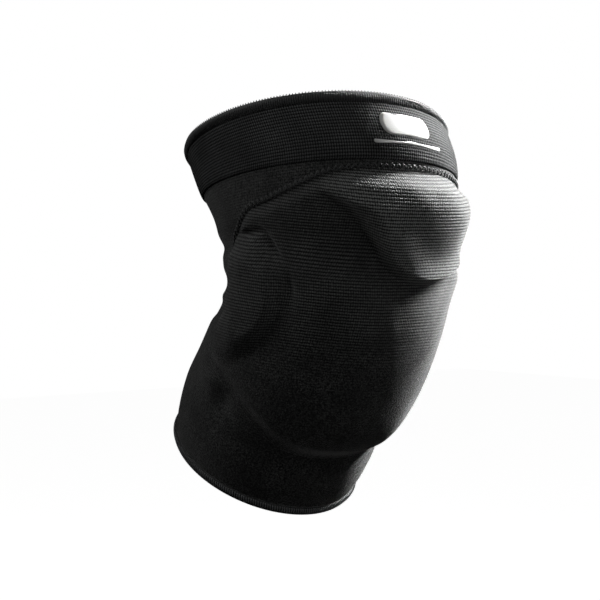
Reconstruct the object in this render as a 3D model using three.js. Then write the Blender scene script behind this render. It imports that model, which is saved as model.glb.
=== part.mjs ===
// A volleyball knee pad as it sits on a bent knee, in millimetres, +Z up.
// The front of the knee faces -Y, and the origin is the knee's centre, inside the sleeve at its bend.
// The product is a knitted sleeve with an elastic top band, foam pads on its front and sides, and a
// knitted cover sewn over the pads. Every piece follows one surface, measured along and around the leg:
// "reach" runs along the leg from the bend, and "turn" runs round it in degrees from the front.
import * as THREE from 'three';
import { mergeVertices } from 'three/addons/utils/BufferGeometryUtils.js';

// Driving sizes of the leg's surface
const ABOVE_KNEE = 84.5; // from the bend to the top rim
const BELOW_KNEE = 102.5; // from the bend to the bottom rim
const THIGH_WIDTH = 125;
const THIGH_DEPTH = 141;
const KNEE_WIDTH = 104;
const KNEE_DEPTH = 109;
const BOTTOM_WIDTH = 95;
const BOTTOM_DEPTH = 99;
const TOP_LEAN = 15; // degrees that the top rim faces back
const TOP_SLANT = 9.5; // degrees that the top rim rises towards the near side
const KNEE_LEAN = -4;
const BOTTOM_LEAN = -31;
const BOTTOM_SLANT = -1.5;

// Driving sizes of the pieces
const KNIT_WALL = 1.6;
const COVER_WALL = 1.6;
const BAND_WALL = 2.4;
const HEM_WALL = 3;
const TOP_HEM_HEIGHT = 4.2;
const BAND_HEIGHT = 22.5;
const BOTTOM_HEM_HEIGHT = 5;
const KNEE_FOAM = 9;
const THIGH_FOAM = 9.5;
const SIDE_FOAM = 7;
const FOAM_EDGE = 0.6;
const FOLD_DEPTH = 4;
const RIDGE_HEIGHT = 9;
const SIDE_EDGE = 108; // degrees from the front to the cover's side edges
const CLEARANCE = 0.3;
const COVER_CLEARANCE = 0.6; // between the sleeve and the cover
const SEAT_CLEARANCE = 0.75; // between the sleeve and a pad
const FOAM_CLEARANCE = 1.1; // between a pad's top and the cover
const FOAM_INSET = 0.09; // share of a pad's width by which its edge stays inside the cover's bulge

// Steps round the leg and along it
const ROUND_STEPS = 40;
const SLEEVE_STEPS = 20;
const BAND_STEPS = 3;
const COVER_STEPS_ACROSS = 40;
const COVER_STEPS_ALONG = 30;

const radians = THREE.MathUtils.degToRad;

// Sections above the bend. reach, back and up are shares of ABOVE_KNEE; lean, slant, width and depth are
// shares of the way from the knee's own value to the top rim's.
const THIGH_SECTIONS = [
  { reach: 0.24, back: -0.015, up: 0.216, lean: 0.32, slant: 0.17, width: 0.08, depth: 0.2 },
  { reach: 0.48, back: -0.055, up: 0.435, lean: 0.53, slant: 0.4, width: 0.38, depth: 0.6 },
  { reach: 0.74, back: -0.005, up: 0.673, lean: 0.79, slant: 0.75, width: 0.76, depth: 1.08 },
  { reach: 1, back: 0.115, up: 0.923, lean: 1, slant: 1, width: 1, depth: 1 },
];

// Sections below the bend, in shares of BELOW_KNEE and of the way from the knee's value to the bottom
// rim's. The calf is fuller than the knee, so some shares are below nought.
const SHIN_SECTIONS = [
  { reach: -1, back: 0.505, up: -0.863, lean: 1, slant: 1, width: 1, depth: 1 },
  { reach: -0.84, back: 0.425, up: -0.737, lean: 0.96, slant: 1, width: 0.1, depth: 0.55 },
  { reach: -0.62, back: 0.32, up: -0.558, lean: 0.81, slant: 0.87, width: -0.4, depth: 0.4 },
  { reach: -0.41, back: 0.2, up: -0.374, lean: 0.59, slant: 0.67, width: -0.35, depth: 0.5 },
  { reach: -0.2, back: 0.09, up: -0.18, lean: 0.3, slant: 0.33, width: -0.12, depth: 0.4 },
];

const mix = (from, to, share) => from + (to - from) * share;

const thighRow = (row) => ({
  at: row.reach * ABOVE_KNEE,
  back: row.back * ABOVE_KNEE,
  up: row.up * ABOVE_KNEE,
  lean: mix(KNEE_LEAN, TOP_LEAN, row.lean),
  slant: TOP_SLANT * row.slant,
  width: mix(KNEE_WIDTH, THIGH_WIDTH, row.width),
  depth: mix(KNEE_DEPTH, THIGH_DEPTH, row.depth),
});

const shinRow = (row) => ({
  at: row.reach * BELOW_KNEE,
  back: row.back * BELOW_KNEE,
  up: row.up * BELOW_KNEE,
  lean: mix(KNEE_LEAN, BOTTOM_LEAN, row.lean),
  slant: BOTTOM_SLANT * row.slant,
  width: mix(KNEE_WIDTH, BOTTOM_WIDTH, row.width),
  depth: mix(KNEE_DEPTH, BOTTOM_DEPTH, row.depth),
});

const kneeRow = { at: 0, back: 0, up: 0, lean: KNEE_LEAN, slant: 0, width: KNEE_WIDTH, depth: KNEE_DEPTH };
const SECTIONS = [...SHIN_SECTIONS.map(shinRow), kneeRow, ...THIGH_SECTIONS.map(thighRow)];

// Smooth value of one column of a table at a place, through every row
function smooth(rows, column, at) {
  const last = rows.length - 1;
  let low = 0;
  while (low < last - 1 && at > rows[low + 1].at) low += 1;
  const slope = (i) => {
    const before = rows[Math.max(i - 1, 0)];
    const after = rows[Math.min(i + 1, last)];
    return (after[column] - before[column]) / (after.at - before.at);
  };
  const span = rows[low + 1].at - rows[low].at;
  const t = (at - rows[low].at) / span;
  const rise = rows[low + 1][column] - rows[low][column];
  const start = slope(low) * span;
  const end = slope(low + 1) * span;
  return rows[low][column] + t * (start + t * (3 * rise - 2 * start - end + t * (start + end - 2 * rise)));
}

// Point of the bare surface, the outside of the sleeve without its folds
function barePoint(turn, reach) {
  const lean = radians(smooth(SECTIONS, 'lean', reach));
  const slant = radians(smooth(SECTIONS, 'slant', reach));
  const up = new THREE.Vector3(0, Math.sin(lean), Math.cos(lean));
  const front = new THREE.Vector3(0, -Math.cos(lean), Math.sin(lean));
  const side = new THREE.Vector3(-Math.cos(slant), 0, 0).addScaledVector(up, Math.sin(slant));
  const point = new THREE.Vector3(0, smooth(SECTIONS, 'back', reach), smooth(SECTIONS, 'up', reach));
  point.addScaledVector(side, smooth(SECTIONS, 'width', reach) / 2 * Math.sin(radians(turn)));
  return point.addScaledVector(front, smooth(SECTIONS, 'depth', reach) / 2 * Math.cos(radians(turn)));
}

// Outward direction of the bare surface
function outward(turn, reach) {
  const across = barePoint(turn + 0.1, reach).sub(barePoint(turn - 0.1, reach));
  const along = barePoint(turn, reach + 0.1).sub(barePoint(turn, reach - 0.1));
  return along.cross(across).normalize();
}

// Folds of the knit. turn and slope are in degrees; reach is a share of ABOVE_KNEE or BELOW_KNEE; long and
// wide are shares of KNEE_WIDTH; height is a share of FOLD_DEPTH, negative where the knit sinks in.
const SIDE_FOLDS = [
  { turn: 112, reach: 0.31, long: 0.3, wide: 0.05, height: -0.9, slope: 0 },
  { turn: 92, reach: 0.4, long: 0.12, wide: 0.04, height: -0.4, slope: 0 },
  { turn: 118, reach: 0.1, long: 0.22, wide: 0.045, height: -0.5, slope: 0 },
  { turn: 118, reach: -0.1, long: 0.22, wide: 0.045, height: -0.6, slope: 0 },
  { turn: 92, reach: -0.46, long: 0.09, wide: 0.045, height: 0.6, slope: 0 },
  { turn: 79, reach: -0.53, long: 0.06, wide: 0.06, height: -0.6, slope: 0 },
];
const MIDDLE_FOLDS = [
  { turn: 180, reach: 0.2, long: 0.4, wide: 0.045, height: -1, slope: 0 },
  { turn: 180, reach: 0.02, long: 0.5, wide: 0.05, height: -1.2, slope: 0 },
  { turn: 180, reach: -0.17, long: 0.45, wide: 0.05, height: -1, slope: 0 },
  { turn: 8, reach: -0.67, long: 0.5, wide: 0.04, height: -0.5, slope: 0 },
];
const farSide = (rows) => rows.map((row) => ({ ...row, turn: -row.turn }));
const FOLDS = [...SIDE_FOLDS, ...farSide(SIDE_FOLDS), ...MIDDLE_FOLDS];

// Ridges of the cover alone, where the knit is stretched from one bulge to the next, in shares as above
// and heights as shares of RIDGE_HEIGHT
const RIDGES = [
  { turn: -54, reach: 0.15, long: 0.22, wide: 0.1, height: 0.7, slope: 0 },
  { turn: 14, reach: 0.33, long: 0.16, wide: 0.07, height: 0.3, slope: 45 },
];

const reachOf = (share) => share * (share < 0 ? BELOW_KNEE : ABOVE_KNEE);
const bell = (x) => Math.exp(-x * x);
const degreesToLength = (degrees) => radians(degrees) * (KNEE_WIDTH + KNEE_DEPTH) / 4;

// Height of a list of folds at a point, each a long bell along its slope
function reliefHeight(folds, fullHeight, turn, reach) {
  let height = 0;
  for (const fold of folds) {
    const away = ((turn - fold.turn + 540) % 360) - 180;
    const across = degreesToLength(away);
    const along = reach - reachOf(fold.reach);
    const tilt = radians(fold.slope);
    const lengthwise = across * Math.cos(tilt) + along * Math.sin(tilt);
    const crosswise = along * Math.cos(tilt) - across * Math.sin(tilt);
    height += fold.height * fullHeight
      * bell(lengthwise / (fold.long * KNEE_WIDTH)) * bell(crosswise / (fold.wide * KNEE_WIDTH));
  }
  return height;
}

// Point at a height over the sleeve's outside, folds included
function surfacePoint(turn, reach, height) {
  return barePoint(turn, reach).addScaledVector(
    outward(turn, reach),
    reliefHeight(FOLDS, FOLD_DEPTH, turn, reach) + height,
  );
}

// Outlines of the foam pads: turn in degrees, reach as a share, and soft from 0, a steep edge, to 1, a
// gentle one
const KNEE_PAD_OUTLINE = [
  { turn: 44, reach: 0.08, soft: 1 },
  { turn: 32, reach: 0.12, soft: 1 },
  { turn: 18, reach: 0.1, soft: 1 },
  { turn: 4, reach: 0.05, soft: 1 },
  { turn: -12, reach: 0.03, soft: 1 },
  { turn: -28, reach: 0.05, soft: 1 },
  { turn: -46, reach: 0.09, soft: 0.92 },
  { turn: -58, reach: 0.04, soft: 0.66 },
  { turn: -60, reach: -0.12, soft: 0.49 },
  { turn: -57, reach: -0.32, soft: 0.49 },
  { turn: -42, reach: -0.5, soft: 0.58 },
  { turn: -28, reach: -0.57, soft: 0.49 },
  { turn: -12, reach: -0.6, soft: 0.41 },
  { turn: 6, reach: -0.6, soft: 0.41 },
  { turn: 28, reach: -0.56, soft: 0.58 },
  { turn: 44, reach: -0.45, soft: 0.75 },
  { turn: 52, reach: -0.25, soft: 0.92 },
  { turn: 51, reach: -0.08, soft: 1 },
];
const THIGH_PAD_OUTLINE = [
  { turn: 43, reach: 0.54, soft: 0.2 },
  { turn: 36, reach: 0.48, soft: 0.15 },
  { turn: 30, reach: 0.41, soft: 0.1 },
  { turn: 24, reach: 0.31, soft: 0 },
  { turn: 17, reach: 0.18, soft: 0 },
  { turn: 6, reach: 0.1, soft: 0 },
  { turn: -10, reach: 0.07, soft: 0 },
  { turn: -27, reach: 0.12, soft: 0 },
  { turn: -42, reach: 0.2, soft: 0.2 },
  { turn: -48, reach: 0.3, soft: 0.58 },
  { turn: -49, reach: 0.44, soft: 0.66 },
  { turn: -42, reach: 0.56, soft: 0.49 },
  { turn: -24, reach: 0.61, soft: 0.41 },
  { turn: 0, reach: 0.61, soft: 0.41 },
  { turn: 20, reach: 0.605, soft: 0.41 },
  { turn: 34, reach: 0.59, soft: 0.41 },
];
const SIDE_PAD_OUTLINE = [
  { turn: 84, reach: 0.33, soft: 0.32 },
  { turn: 73, reach: 0.22, soft: 0.15 },
  { turn: 64, reach: 0.03, soft: 0.15 },
  { turn: 65, reach: -0.14, soft: 0.15 },
  { turn: 73, reach: -0.25, soft: 0.15 },
  { turn: 84, reach: -0.3, soft: 0.32 },
  { turn: 94, reach: -0.26, soft: 0.83 },
  { turn: 99, reach: -0.1, soft: 1 },
  { turn: 99, reach: 0.12, soft: 1 },
  { turn: 94, reach: 0.27, soft: 0.83 },
];

const PADS = [
  { name: 'knee_pad', foam: KNEE_FOAM, outline: KNEE_PAD_OUTLINE, turn: -5, reach: -0.27, rings: 6 },
  { name: 'thigh_pad', foam: THIGH_FOAM, outline: THIGH_PAD_OUTLINE, turn: -8, reach: 0.38, rings: 5 },
  { name: 'side_pad_left', foam: SIDE_FOAM, outline: SIDE_PAD_OUTLINE, turn: 83, reach: 0, rings: 4 },
  { name: 'side_pad_right', foam: SIDE_FOAM, outline: farSide(SIDE_PAD_OUTLINE), turn: -83, reach: 0, rings: 4 },
];

// How a bulge falls: flat up to a share of the way from the pad's middle to its outline, and level with
// the sleeve at a share past it. Both depend on how soft the edge is there.
const STEEP = { flat: 0.78, spread: 1.02 };
const GENTLE = { flat: 0, spread: 2 };

// A pad's outline as rows of bearing round its middle, distance from it and softness
const FULL_TURN = 2 * Math.PI;
for (const pad of PADS) {
  const rows = pad.outline.map((row) => {
    const across = degreesToLength(row.turn - pad.turn);
    const along = reachOf(row.reach) - reachOf(pad.reach);
    return { at: Math.atan2(along, across), far: Math.hypot(along, across), soft: row.soft };
  });
  rows.sort((a, b) => a.at - b.at);
  pad.rim = [-1, 0, 1].flatMap((turns) => rows.map((row) => ({ ...row, at: row.at + turns * FULL_TURN })));
  // spokes at every row and halfway to the next
  pad.spokes = rows.flatMap((row, i) => [row.at, (row.at + pad.rim[rows.length + i + 1].at) / 2]);
}

// Share of a pad's full height at a share of the way from its middle to its outline
function bulgeShare(far, soft) {
  const flat = mix(STEEP.flat, GENTLE.flat, soft);
  const spread = mix(STEEP.spread, GENTLE.spread, soft);
  const fall = Math.min(Math.max((far - flat) / (spread - flat), 0), 1);
  return 0.5 + 0.5 * Math.cos(Math.PI * fall);
}

const padHeight = (pad, far, soft) => (pad.foam + FOAM_CLEARANCE) * bulgeShare(far, soft);

function bulgeHeight(pad, turn, reach) {
  const across = degreesToLength(turn - pad.turn);
  const along = reach - reachOf(pad.reach);
  const bearing = Math.atan2(along, across);
  return padHeight(pad, Math.hypot(along, across) / smooth(pad.rim, 'far', bearing), smooth(pad.rim, 'soft', bearing));
}

// Height of the cover's inside over the sleeve: the bulges, joined softly where they meet
const JOIN = 3;

function pocketHeight(turn, reach) {
  const sum = PADS.reduce((total, pad) => total + bulgeHeight(pad, turn, reach) ** JOIN, 0);
  return COVER_CLEARANCE + sum ** (1 / JOIN) + reliefHeight(RIDGES, RIDGE_HEIGHT, turn, reach);
}

// Edges of the cover: the sewn upper edge and the lower edge under the knee pad
const COVER_EDGES = [
  { turn: 0, top: 0.66, bottom: -0.66 },
  { turn: 30, top: 0.655, bottom: -0.65 },
  { turn: 45, top: 0.64, bottom: -0.61 },
  { turn: 60, top: 0.592, bottom: -0.54 },
  { turn: 75, top: 0.54, bottom: -0.47 },
  { turn: 88, top: 0.5, bottom: -0.42 },
  { turn: 101, top: 0.37, bottom: -0.38 },
  { turn: 108, top: 0.27, bottom: -0.34 },
].map((row) => ({ at: row.turn * SIDE_EDGE / 108, top: row.top * ABOVE_KNEE, bottom: row.bottom * BELOW_KNEE }));

// Builds one closed mesh from a grid of outer and inner points
function shellMesh(name, material, columns, rows, closedRound, outer, inner) {
  const positions = [];
  const indices = [];
  const width = closedRound ? columns : columns + 1;
  const index = (side, column, row) => side * width * (rows + 1) + row * width + (column % width);
  for (const pick of [outer, inner]) {
    for (let row = 0; row <= rows; row += 1) {
      for (let column = 0; column < width; column += 1) {
        positions.push(...pick(column / columns, row / rows).toArray());
      }
    }
  }
  const quad = (a, b, c, d) => indices.push(a, c, b, a, d, c);
  for (let column = 0; column < columns; column += 1) {
    for (let row = 0; row < rows; row += 1) {
      quad(index(0, column, row), index(0, column, row + 1), index(0, column + 1, row + 1), index(0, column + 1, row));
      quad(index(1, column, row), index(1, column + 1, row), index(1, column + 1, row + 1), index(1, column, row + 1));
    }
    quad(index(0, column, 0), index(0, column + 1, 0), index(1, column + 1, 0), index(1, column, 0));
    quad(index(0, column + 1, rows), index(0, column, rows), index(1, column, rows), index(1, column + 1, rows));
  }
  if (!closedRound) {
    for (let row = 0; row < rows; row += 1) {
      quad(index(0, 0, row + 1), index(0, 0, row), index(1, 0, row), index(1, 0, row + 1));
      quad(index(0, columns, row), index(0, columns, row + 1), index(1, columns, row + 1), index(1, columns, row));
    }
  }
  return closedMesh(name, material, positions, indices);
}

function closedMesh(name, material, positions, indices) {
  const geometry = new THREE.BufferGeometry();
  geometry.setAttribute('position', new THREE.Float32BufferAttribute(positions, 3));
  geometry.setIndex(indices);
  const merged = mergeVertices(geometry, 1e-4);
  merged.computeVertexNormals();
  const mesh = new THREE.Mesh(merged, material);
  mesh.name = name;
  return mesh;
}

// A foam pad: rings of points from its middle to its outline, above a back face that lies on the sleeve
function padMesh(pad, material) {
  const positions = [];
  const indices = [];
  const count = pad.spokes.length;
  const addPoint = (share, bearing, raised) => {
    const far = smooth(pad.rim, 'far', bearing) * share;
    const turn = pad.turn + far * Math.cos(bearing) / degreesToLength(1);
    const reach = reachOf(pad.reach) + far * Math.sin(bearing);
    const bulge = padHeight(pad, share + FOAM_INSET, smooth(pad.rim, 'soft', bearing));
    const height = raised
      ? Math.max(COVER_CLEARANCE + bulge - FOAM_CLEARANCE, SEAT_CLEARANCE + FOAM_EDGE)
      : SEAT_CLEARANCE;
    positions.push(...surfacePoint(turn, reach, height).toArray());
  };
  for (const raised of [true, false]) {
    addPoint(0, 0, raised);
    for (let ring = 1; ring <= pad.rings; ring += 1) {
      for (const bearing of pad.spokes) addPoint(ring / pad.rings, bearing, raised);
    }
  }
  const sideSize = 1 + pad.rings * count;
  const index = (side, ring, spoke) => (
    side * sideSize + (ring === 0 ? 0 : 1 + (ring - 1) * count + spoke % count)
  );
  for (let spoke = 0; spoke < count; spoke += 1) {
    indices.push(index(0, 0, 0), index(0, 1, spoke + 1), index(0, 1, spoke));
    indices.push(index(1, 0, 0), index(1, 1, spoke), index(1, 1, spoke + 1));
    const quad = (a, b, c, d) => indices.push(a, b, c, a, c, d);
    for (let ring = 1; ring < pad.rings; ring += 1) {
      const [inner, outer] = [ring, ring + 1];
      quad(index(0, inner, spoke), index(0, inner, spoke + 1), index(0, outer, spoke + 1), index(0, outer, spoke));
      quad(index(1, inner, spoke), index(1, outer, spoke), index(1, outer, spoke + 1), index(1, inner, spoke + 1));
    }
    const rim = pad.rings;
    quad(index(0, rim, spoke), index(0, rim, spoke + 1), index(1, rim, spoke + 1), index(1, rim, spoke));
  }
  return closedMesh(pad.name, material, positions, indices);
}

// A ring round the leg between two reaches, with its wall outside or inside the bare surface
function ringMesh(name, material, steps, from, to, innerHeight, outerHeight) {
  const point = (height) => (u, v) => surfacePoint(180 - 360 * u, mix(from, to, v), height);
  return shellMesh(name, material, ROUND_STEPS, steps, true, point(outerHeight), point(innerHeight));
}

function coverMesh(material) {
  const point = (wall) => (u, v) => {
    const turn = mix(SIDE_EDGE, -SIDE_EDGE, u);
    const edge = Math.abs(turn);
    const reach = mix(smooth(COVER_EDGES, 'bottom', edge), smooth(COVER_EDGES, 'top', edge), v);
    return surfacePoint(turn, reach, pocketHeight(turn, reach) + wall);
  };
  return shellMesh('front_cover', material, COVER_STEPS_ACROSS, COVER_STEPS_ALONG, false, point(COVER_WALL), point(0));
}

const cloth = (color, roughness) => new THREE.MeshStandardMaterial({ color, roughness, metalness: 0 });
const KNIT_BLACK = cloth(0x1a1c1b, 0.9);
const BAND_BLACK = cloth(0x1f2122, 0.85);
const COVER_BLACK = cloth(0x161817, 0.92);
const HEM_BLACK = cloth(0x121313, 0.9);
const FOAM_GREY = cloth(0x4a4c4e, 0.95);

const bandTop = ABOVE_KNEE - TOP_HEM_HEIGHT - CLEARANCE;
const bandBottom = bandTop - BAND_HEIGHT;
const sleeveTop = bandBottom - CLEARANCE;
const hemTop = BOTTOM_HEM_HEIGHT - BELOW_KNEE;

const kneePad = new THREE.Group();
kneePad.add(
  ringMesh('top_hem', HEM_BLACK, 2, ABOVE_KNEE - TOP_HEM_HEIGHT, ABOVE_KNEE, -KNIT_WALL, HEM_WALL - KNIT_WALL),
  ringMesh('top_band', BAND_BLACK, BAND_STEPS, bandBottom, bandTop, -KNIT_WALL, BAND_WALL - KNIT_WALL),
  ringMesh('sleeve', KNIT_BLACK, SLEEVE_STEPS, hemTop + CLEARANCE, sleeveTop, -KNIT_WALL, 0),
  coverMesh(COVER_BLACK),
  ...PADS.map((pad) => padMesh(pad, FOAM_GREY)),
  ringMesh('bottom_hem', HEM_BLACK, 2, -BELOW_KNEE, hemTop, -KNIT_WALL, HEM_WALL - KNIT_WALL),
);

export default kneePad;
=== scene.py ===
# A knitted volleyball knee pad in its worn form: finish, seams, stitches, light and camera.
import math

import bmesh
import bpy
import numpy as np
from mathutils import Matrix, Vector


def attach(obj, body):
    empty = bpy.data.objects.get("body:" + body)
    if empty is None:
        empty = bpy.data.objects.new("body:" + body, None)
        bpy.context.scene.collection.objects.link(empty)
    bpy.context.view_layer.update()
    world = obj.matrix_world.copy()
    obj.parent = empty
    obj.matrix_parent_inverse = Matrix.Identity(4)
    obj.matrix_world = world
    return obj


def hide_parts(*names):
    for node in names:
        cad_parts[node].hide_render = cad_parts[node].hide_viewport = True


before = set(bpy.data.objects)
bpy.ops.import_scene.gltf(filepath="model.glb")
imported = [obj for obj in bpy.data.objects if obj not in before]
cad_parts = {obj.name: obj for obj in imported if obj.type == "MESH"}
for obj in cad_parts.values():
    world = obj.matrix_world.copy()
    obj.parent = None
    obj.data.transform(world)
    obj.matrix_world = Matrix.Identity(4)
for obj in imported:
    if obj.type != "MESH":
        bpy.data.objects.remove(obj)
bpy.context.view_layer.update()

# Sizes, in millimetres and degrees, as the part's source has them
ABOVE_KNEE = 84.5
BELOW_KNEE = 102.5
THIGH_WIDTH = 125
THIGH_DEPTH = 141
KNEE_WIDTH = 104
KNEE_DEPTH = 109
BOTTOM_WIDTH = 95
BOTTOM_DEPTH = 99
TOP_LEAN = 15
TOP_SLANT = 9.5
KNEE_LEAN = -4
BOTTOM_LEAN = -31
BOTTOM_SLANT = -1.5
KNIT_WALL = 1.6
COVER_WALL = 1.6
BAND_WALL = 2.4
HEM_WALL = 3
TOP_HEM_HEIGHT = 4.2
BAND_HEIGHT = 22.5
BOTTOM_HEM_HEIGHT = 5
KNEE_FOAM = 9
THIGH_FOAM = 9.5
SIDE_FOAM = 7
FOAM_EDGE = 0.6
FOLD_DEPTH = 4
RIDGE_HEIGHT = 9
SIDE_EDGE = 108
CLEARANCE = 0.3
COVER_CLEARANCE = 0.6
SEAT_CLEARANCE = 0.75
FOAM_CLEARANCE = 1.1
FOAM_INSET = 0.09

# Sizes of the finish, in millimetres
RIB_PITCH = 1.55  # cross ribs of the cover
RIB_HEIGHT = 0.3
RIB_MEAN = 0.64  # mean height of a rounded rib, as a share of its top
FINE_PITCH = 1.2  # rows of the sleeve, and columns of stitches in sleeve and cover
BAND_ROW = 1.25  # rows and columns of the elastic band
BAND_ROW_HEIGHT = 0.3
BAND_TAPER = 1  # height over which the band's lower end thins out
BAND_END = 0.15  # share of the band's step that is left at that end
EDGE_TAPER = 16  # width over which the cover's lower and side edges thin out
POCKET_TAPER = 9  # width over which the room for foam closes at those edges
SEAM_TAPER = 8  # width over which the cover thins out at its sewn upper edge
EDGE_WALL = 0.06  # of the cover at its very edge
EDGE_LIFT = 0.06  # height of that edge over the sleeve
STRETCH_HEIGHT = 12  # height over the sleeve at which the rows of stitches are measured
BRUSHED_START = 16  # half of the height over which the brushed knit, and its painted shade, begins
BRUSHED_SLOPE = 0.12  # rise of that border towards the sides
BRUSHED_RIB_LOSS = 0.75  # share of the ribs' height that brushing takes away
SLEEVE_BRUSHED_AND_SHADED = 0.3  # share of fuzz, and of painted shade, on the sleeve's upper part
SEWN_GAP = 0.02  # left between pieces that are sewn edge to edge
CREASE_DEPTH = 1
CREASE_WALL = 0.5  # of the cloth at the bottom of a crease
HEM_SQUARENESS = 0.75  # 1 is a round section, and less is a squarer one
PRINT_WALL = 0.15
PRINT_LIFT = 0.02  # gap between print and band

# Steps of the meshes
SAMPLES_PER_RIB = 4
COARSE = 4  # steps of a wall's outside for each step of its inside
COVER_STEPS = 58 * COARSE
SLEEVE_STEPS = 64 * COARSE
SLEEVE_ROWS = 40 * COARSE
BAND_STEPS = 80 * COARSE
HEM_STEPS = 240
HEM_SIDES = 16
STITCH_STEPS = 360
SEAM_STEPS = 300

# Sections of the leg above and below the bend, as shares of the sizes above
THIGH_SECTIONS = [
    dict(reach=0.24, back=-0.015, up=0.216, lean=0.32, slant=0.17, width=0.08, depth=0.2),
    dict(reach=0.48, back=-0.055, up=0.435, lean=0.53, slant=0.4, width=0.38, depth=0.6),
    dict(reach=0.74, back=-0.005, up=0.673, lean=0.79, slant=0.75, width=0.76, depth=1.08),
    dict(reach=1, back=0.115, up=0.923, lean=1, slant=1, width=1, depth=1),
]
SHIN_SECTIONS = [
    dict(reach=-1, back=0.505, up=-0.863, lean=1, slant=1, width=1, depth=1),
    dict(reach=-0.84, back=0.425, up=-0.737, lean=0.96, slant=1, width=0.1, depth=0.55),
    dict(reach=-0.62, back=0.32, up=-0.558, lean=0.81, slant=0.87, width=-0.4, depth=0.4),
    dict(reach=-0.41, back=0.2, up=-0.374, lean=0.59, slant=0.67, width=-0.35, depth=0.5),
    dict(reach=-0.2, back=0.09, up=-0.18, lean=0.3, slant=0.33, width=-0.12, depth=0.4),
]

# Folds of the knit: turn in degrees, reach as a share, long and wide as shares of KNEE_WIDTH, and height as
# a share of FOLD_DEPTH, RIDGE_HEIGHT or CREASE_DEPTH
SIDE_FOLDS = [
    dict(turn=112, reach=0.31, long=0.3, wide=0.05, height=-0.9),
    dict(turn=92, reach=0.4, long=0.12, wide=0.04, height=-0.4),
    dict(turn=118, reach=0.1, long=0.22, wide=0.045, height=-0.5),
    dict(turn=118, reach=-0.1, long=0.22, wide=0.045, height=-0.6),
    dict(turn=92, reach=-0.46, long=0.09, wide=0.045, height=0.6),
    dict(turn=79, reach=-0.53, long=0.06, wide=0.06, height=-0.6),
]
MIDDLE_FOLDS = [
    dict(turn=180, reach=0.2, long=0.4, wide=0.045, height=-1),
    dict(turn=180, reach=0.02, long=0.5, wide=0.05, height=-1.2),
    dict(turn=180, reach=-0.17, long=0.45, wide=0.05, height=-1),
    dict(turn=8, reach=-0.67, long=0.5, wide=0.04, height=-0.5),
]
RIDGES = [
    dict(turn=-54, reach=0.15, long=0.22, wide=0.1, height=0.7),
    dict(turn=14, reach=0.33, long=0.16, wide=0.07, height=0.3, slope=45),
]
CREASES = [
    dict(turn=88, reach=0.37, long=0.1, wide=0.018, height=-2.5),
    dict(turn=71, reach=0.29, long=0.09, wide=0.018, height=-2.2, slope=47),
    dict(turn=59, reach=0.06, long=0.08, wide=0.02, height=-1.2, slope=80),
]
SLEEVE_CREASES = [dict(turn=20, reach=-0.925, long=0.5, wide=0.006, height=-0.4)]


def far_side(rows):
    return [dict(row, turn=-row["turn"]) for row in rows]


FOLDS = SIDE_FOLDS + far_side(SIDE_FOLDS) + MIDDLE_FOLDS

# Outlines of the pads: turn in degrees, reach as a share, and softness of the edge
KNEE_PAD_OUTLINE = [
    (44, 0.08, 1), (32, 0.12, 1), (18, 0.1, 1), (4, 0.05, 1), (-12, 0.03, 1), (-28, 0.05, 1),
    (-46, 0.09, 0.92), (-58, 0.04, 0.66), (-60, -0.12, 0.49), (-57, -0.32, 0.49), (-42, -0.5, 0.58),
    (-28, -0.57, 0.49), (-12, -0.6, 0.41), (6, -0.6, 0.41), (28, -0.56, 0.58), (44, -0.45, 0.75),
    (52, -0.25, 0.92), (51, -0.08, 1),
]
THIGH_PAD_OUTLINE = [
    (43, 0.54, 0.2), (36, 0.48, 0.15), (30, 0.41, 0.1), (24, 0.31, 0), (17, 0.18, 0), (6, 0.1, 0),
    (-10, 0.07, 0), (-27, 0.12, 0), (-42, 0.2, 0.2), (-48, 0.3, 0.58), (-49, 0.44, 0.66), (-42, 0.56, 0.49),
    (-24, 0.61, 0.41), (0, 0.61, 0.41), (20, 0.605, 0.41), (34, 0.59, 0.41),
]
SIDE_PAD_OUTLINE = [
    (84, 0.33, 0.32), (73, 0.22, 0.15), (64, 0.03, 0.15), (65, -0.14, 0.15), (73, -0.25, 0.15),
    (84, -0.3, 0.32), (94, -0.26, 0.83), (99, -0.1, 1), (99, 0.12, 1), (94, 0.27, 0.83),
]
FAR_SIDE_PAD_OUTLINE = [(-turn, reach, soft) for turn, reach, soft in SIDE_PAD_OUTLINE]
PADS = [
    dict(name="knee_pad", foam=KNEE_FOAM, outline=KNEE_PAD_OUTLINE, turn=-5, reach=-0.27),
    dict(name="thigh_pad", foam=THIGH_FOAM, outline=THIGH_PAD_OUTLINE, turn=-8, reach=0.38),
    dict(name="side_pad_left", foam=SIDE_FOAM, outline=SIDE_PAD_OUTLINE, turn=83, reach=0),
    dict(name="side_pad_right", foam=SIDE_FOAM, outline=FAR_SIDE_PAD_OUTLINE, turn=-83, reach=0),
]
# Where a pad's flat top ends and its bulge dies away, as shares of its outline: softness 0, and softness 1
STEEP = dict(flat=0.78, spread=1.02)
GENTLE = dict(flat=0, spread=2)
JOIN = 3  # power that blends the bulges of pads side by side

# Edges of the cover: reach of its sewn upper edge and of its lower edge, as shares
COVER_EDGES = [
    dict(turn=0, top=0.66, bottom=-0.66),
    dict(turn=30, top=0.655, bottom=-0.65),
    dict(turn=45, top=0.64, bottom=-0.61),
    dict(turn=60, top=0.592, bottom=-0.54),
    dict(turn=75, top=0.54, bottom=-0.47),
    dict(turn=88, top=0.5, bottom=-0.42),
    dict(turn=101, top=0.37, bottom=-0.38),
    dict(turn=108, top=0.27, bottom=-0.34),
]


def mix(start, end, share):
    return start + (end - start) * share


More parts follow.
